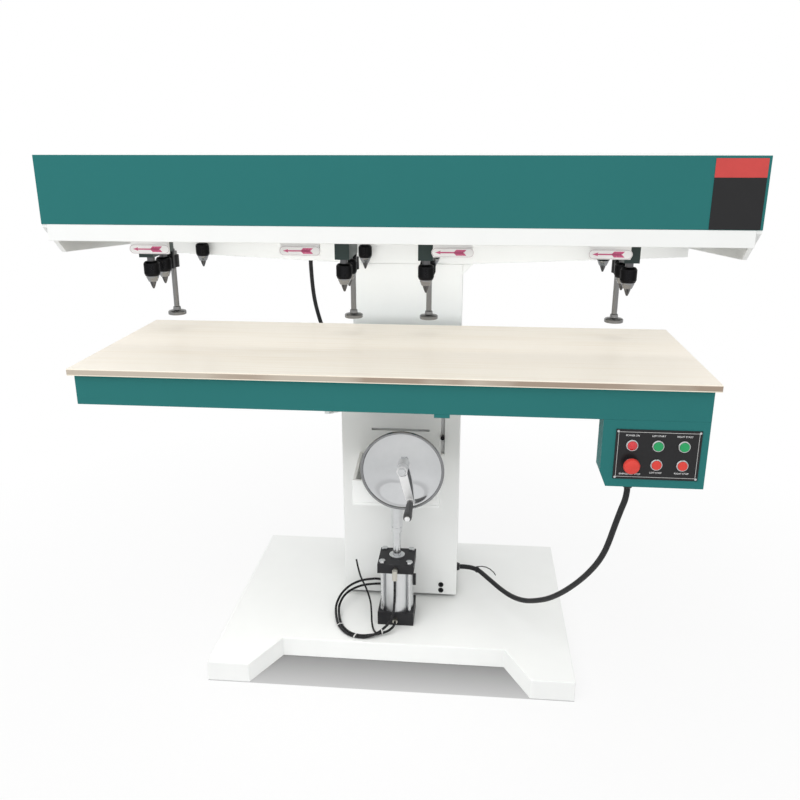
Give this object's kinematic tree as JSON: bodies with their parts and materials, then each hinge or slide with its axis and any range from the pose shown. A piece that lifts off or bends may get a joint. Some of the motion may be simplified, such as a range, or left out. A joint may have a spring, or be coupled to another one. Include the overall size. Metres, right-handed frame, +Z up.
{
  "type": "line boring machine",
  "caption": "Floor-standing multi-spindle boring machine for wood: sliding drill heads on an overhead beam above a table that an air cylinder lifts, with a handwheel depth stop.",
  "frame": {"origin": "floor level, under the middle of the machine's bounding box", "axes": "+X to the operator's right along the beam, +Y away from the operator, +Z up"},
  "size_m": [1.83, 0.974, 1.514],
  "materials": {
    "white_paint": "satin white enamel",
    "teal_paint": "satin blue-green enamel",
    "green_paint": "dark green enamel",
    "black_paint": "black anodised",
    "steel": "ground steel",
    "chuck_steel": "blackened sleeve, bright jaws",
    "chrome": "polished plating",
    "aluminium": "clear anodised",
    "birch": "sealed birch panel",
    "black_rubber": "smooth hose and cable sheath",
    "black_plastic": "fine grain",
    "red_plastic": "moulded",
    "green_plastic": "moulded"
  },
  "bodies": {
    "frame": {"base": "white_paint", "column": "white_paint", "cross_arm": "white_paint", "beam_cheeks": "white_paint", "beam_cover": "white_paint", "front_cover": "teal_paint", "front_rail": "white_paint", "guide_bars": "steel", "lift_rails": "steel", "cylinder_caps": "black_paint", "cylinder_barrel": "aluminium", "tie_rods": "steel", "line_fittings": "steel", "air_hoses": "black_rubber", "motor_cable": "black_rubber"},
    "table": {"saddle": "white_paint", "crosshead": "white_paint", "piston_rod": "steel", "table_frame": "teal_paint", "table_board": "birch", "control_box": "teal_paint", "control_plate": "black_plastic", "panel_bezels": "steel", "pilot_lamp": "red_plastic", "cable_glands": "black_plastic", "control_cable": "black_rubber"},
    "left_start_button": {"left_start_button": "green_plastic"},
    "right_start_button": {"right_start_button": "green_plastic"},
    "left_stop_button": {"left_stop_button": "red_plastic"},
    "right_stop_button": {"right_stop_button": "red_plastic"},
    "emergency_stop": {"emergency_stop": "red_plastic"},
    "handwheel": {"handwheel": "chrome", "handwheel_shaft": "steel"},
    "handle_grip": {"handle_grip": "black_plastic"},
    "depth_screw": {"depth_screw": "steel"},
    "stop_nut": {"stop_nut": "steel"},
    "head_1": {"head_1_carriage": "white_paint", "head_1_housing": "green_paint"},
    "head_1_hold_down": {"head_1_hold_down": "steel"},
    "head_1_front_spindle": {"head_1_front_spindle": "chuck_steel"},
    "head_1_middle_spindle": {"head_1_middle_spindle": "chuck_steel"},
    "head_1_rear_spindle": {"head_1_rear_spindle": "chuck_steel"},
    "head_2": {"head_2_carriage": "white_paint", "head_2_housing": "green_paint"},
    "head_2_hold_down": {"head_2_hold_down": "steel"},
    "head_2_front_spindle": {"head_2_front_spindle": "chuck_steel"},
    "head_2_middle_spindle": {"head_2_middle_spindle": "chuck_steel"},
    "head_2_rear_spindle": {"head_2_rear_spindle": "chuck_steel"},
    "head_3": {"head_3_carriage": "white_paint", "head_3_housing": "green_paint"},
    "head_3_hold_down": {"head_3_hold_down": "steel"},
    "head_3_front_spindle": {"head_3_front_spindle": "chuck_steel"},
    "head_3_middle_spindle": {"head_3_middle_spindle": "chuck_steel"},
    "head_3_rear_spindle": {"head_3_rear_spindle": "chuck_steel"},
    "head_4": {"head_4_carriage": "white_paint", "head_4_housing": "green_paint"},
    "head_4_hold_down": {"head_4_hold_down": "steel"},
    "head_4_front_spindle": {"head_4_front_spindle": "chuck_steel"},
    "head_4_middle_spindle": {"head_4_middle_spindle": "chuck_steel"},
    "head_4_rear_spindle": {"head_4_rear_spindle": "chuck_steel"}
  },
  "joints": [
    {"name": "table_lift", "type": "slide", "parent": "frame", "child": "table", "axis": [0, 0, 1], "range_m": [0, 0.075]},
    {"name": "left_start_button_press", "type": "slide", "parent": "table", "child": "left_start_button", "axis": [0, 1, 0], "range_m": [0, 0.004], "stiffness_N_per_m": 600, "springref_m": -0.002},
    {"name": "right_start_button_press", "type": "slide", "parent": "table", "child": "right_start_button", "axis": [0, 1, 0], "range_m": [0, 0.004], "stiffness_N_per_m": 600, "springref_m": -0.002},
    {"name": "left_stop_button_press", "type": "slide", "parent": "table", "child": "left_stop_button", "axis": [0, 1, 0], "range_m": [0, 0.004], "stiffness_N_per_m": 600, "springref_m": -0.002},
    {"name": "right_stop_button_press", "type": "slide", "parent": "table", "child": "right_stop_button", "axis": [0, 1, 0], "range_m": [0, 0.004], "stiffness_N_per_m": 600, "springref_m": -0.002},
    {"name": "emergency_stop_press", "type": "slide", "parent": "table", "child": "emergency_stop", "axis": [0, 1, 0], "range_m": [0, 0.005]},
    {"name": "handwheel_turn", "type": "hinge", "parent": "table", "child": "handwheel", "pos_m": [0.025, -0.15, 0.619], "axis": [0, 1, 0], "range_deg": [0, 3600]},
    {"name": "grip_spin", "type": "hinge", "parent": "handwheel", "child": "handle_grip", "pos_m": [0.04968, -0.21, 0.52003], "axis": [0, 1, 0], "continuous": true},
    {"name": "depth_screw_turn", "type": "hinge", "parent": "table", "child": "depth_screw", "pos_m": [0.025, 0.15, 0.7], "axis": [0, 0, 1], "range_deg": [0, 3600]},
    {"name": "stop_nut_travel", "type": "slide", "parent": "table", "child": "stop_nut", "axis": [0, 0, 1], "range_m": [-0.05, 0]},
    {"name": "head_1_slide", "type": "slide", "parent": "frame", "child": "head_1", "axis": [1, 0, 0], "range_m": [-0.12, 0.135]},
    {"name": "head_1_hold_down_slide", "type": "slide", "parent": "head_1", "child": "head_1_hold_down", "axis": [0, 0, 1], "range_m": [0, 0.04]},
    {"name": "head_1_front_spindle_spin", "type": "hinge", "parent": "head_1", "child": "head_1_front_spindle", "pos_m": [-0.68, -0.154, 1.2], "axis": [0, 0, 1], "continuous": true},
    {"name": "head_1_middle_spindle_spin", "type": "hinge", "parent": "head_1", "child": "head_1_middle_spindle", "pos_m": [-0.68, -0.064, 1.2], "axis": [0, 0, 1], "continuous": true},
    {"name": "head_1_rear_spindle_spin", "type": "hinge", "parent": "head_1", "child": "head_1_rear_spindle", "pos_m": [-0.68, 0.28, 1.2], "axis": [0, 0, 1], "continuous": true},
    {"name": "head_2_slide", "type": "slide", "parent": "frame", "child": "head_2", "axis": [1, 0, 0], "range_m": [-0.135, 0.045]},
    {"name": "head_2_hold_down_slide", "type": "slide", "parent": "head_2", "child": "head_2_hold_down", "axis": [0, 0, 1], "range_m": [0, 0.04]},
    {"name": "head_2_front_spindle_spin", "type": "hinge", "parent": "head_2", "child": "head_2_front_spindle", "pos_m": [-0.135, -0.154, 1.2], "axis": [0, 0, 1], "continuous": true},
    {"name": "head_2_middle_spindle_spin", "type": "hinge", "parent": "head_2", "child": "head_2_middle_spindle", "pos_m": [-0.135, -0.064, 1.2], "axis": [0, 0, 1], "continuous": true},
    {"name": "head_2_rear_spindle_spin", "type": "hinge", "parent": "head_2", "child": "head_2_rear_spindle", "pos_m": [-0.135, 0.28, 1.2], "axis": [0, 0, 1], "continuous": true},
    {"name": "head_3_slide", "type": "slide", "parent": "frame", "child": "head_3", "axis": [1, 0, 0], "range_m": [-0.045, 0.13]},
    {"name": "head_3_hold_down_slide", "type": "slide", "parent": "head_3", "child": "head_3_hold_down", "axis": [0, 0, 1], "range_m": [0, 0.04]},
    {"name": "head_3_front_spindle_spin", "type": "hinge", "parent": "head_3", "child": "head_3_front_spindle", "pos_m": [0.09, -0.154, 1.2], "axis": [0, 0, 1], "continuous": true},
    {"name": "head_3_middle_spindle_spin", "type": "hinge", "parent": "head_3", "child": "head_3_middle_spindle", "pos_m": [0.09, -0.064, 1.2], "axis": [0, 0, 1], "continuous": true},
    {"name": "head_3_rear_spindle_spin", "type": "hinge", "parent": "head_3", "child": "head_3_rear_spindle", "pos_m": [0.09, 0.28, 1.2], "axis": [0, 0, 1], "continuous": true},
    {"name": "head_4_slide", "type": "slide", "parent": "frame", "child": "head_4", "axis": [1, 0, 0], "range_m": [-0.13, 0.165]},
    {"name": "head_4_hold_down_slide", "type": "slide", "parent": "head_4", "child": "head_4_hold_down", "axis": [0, 0, 1], "range_m": [0, 0.04]},
    {"name": "head_4_front_spindle_spin", "type": "hinge", "parent": "head_4", "child": "head_4_front_spindle", "pos_m": [0.63, -0.154, 1.2], "axis": [0, 0, 1], "continuous": true},
    {"name": "head_4_middle_spindle_spin", "type": "hinge", "parent": "head_4", "child": "head_4_middle_spindle", "pos_m": [0.63, -0.064, 1.2], "axis": [0, 0, 1], "continuous": true},
    {"name": "head_4_rear_spindle_spin", "type": "hinge", "parent": "head_4", "child": "head_4_rear_spindle", "pos_m": [0.63, 0.28, 1.2], "axis": [0, 0, 1], "continuous": true}
  ],
  "couplings": [
    {"joint": "depth_screw_turn", "follows": "handwheel_turn", "ratio": 1},
    {"joint": "stop_nut_travel", "follows": "handwheel_turn", "m_per_rad": -0.000795},
    {"joint": "head_1_hold_down_slide", "follows": "table_lift", "ratio": 0.5},
    {"joint": "head_1_middle_spindle_spin", "follows": "head_1_front_spindle_spin", "ratio": 1},
    {"joint": "head_2_hold_down_slide", "follows": "table_lift", "ratio": 0.5},
    {"joint": "head_2_middle_spindle_spin", "follows": "head_2_front_spindle_spin", "ratio": 1},
    {"joint": "head_3_hold_down_slide", "follows": "table_lift", "ratio": 0.5},
    {"joint": "head_3_middle_spindle_spin", "follows": "head_3_front_spindle_spin", "ratio": 1},
    {"joint": "head_4_hold_down_slide", "follows": "table_lift", "ratio": 0.5},
    {"joint": "head_4_middle_spindle_spin", "follows": "head_4_front_spindle_spin", "ratio": 1}
  ]
}
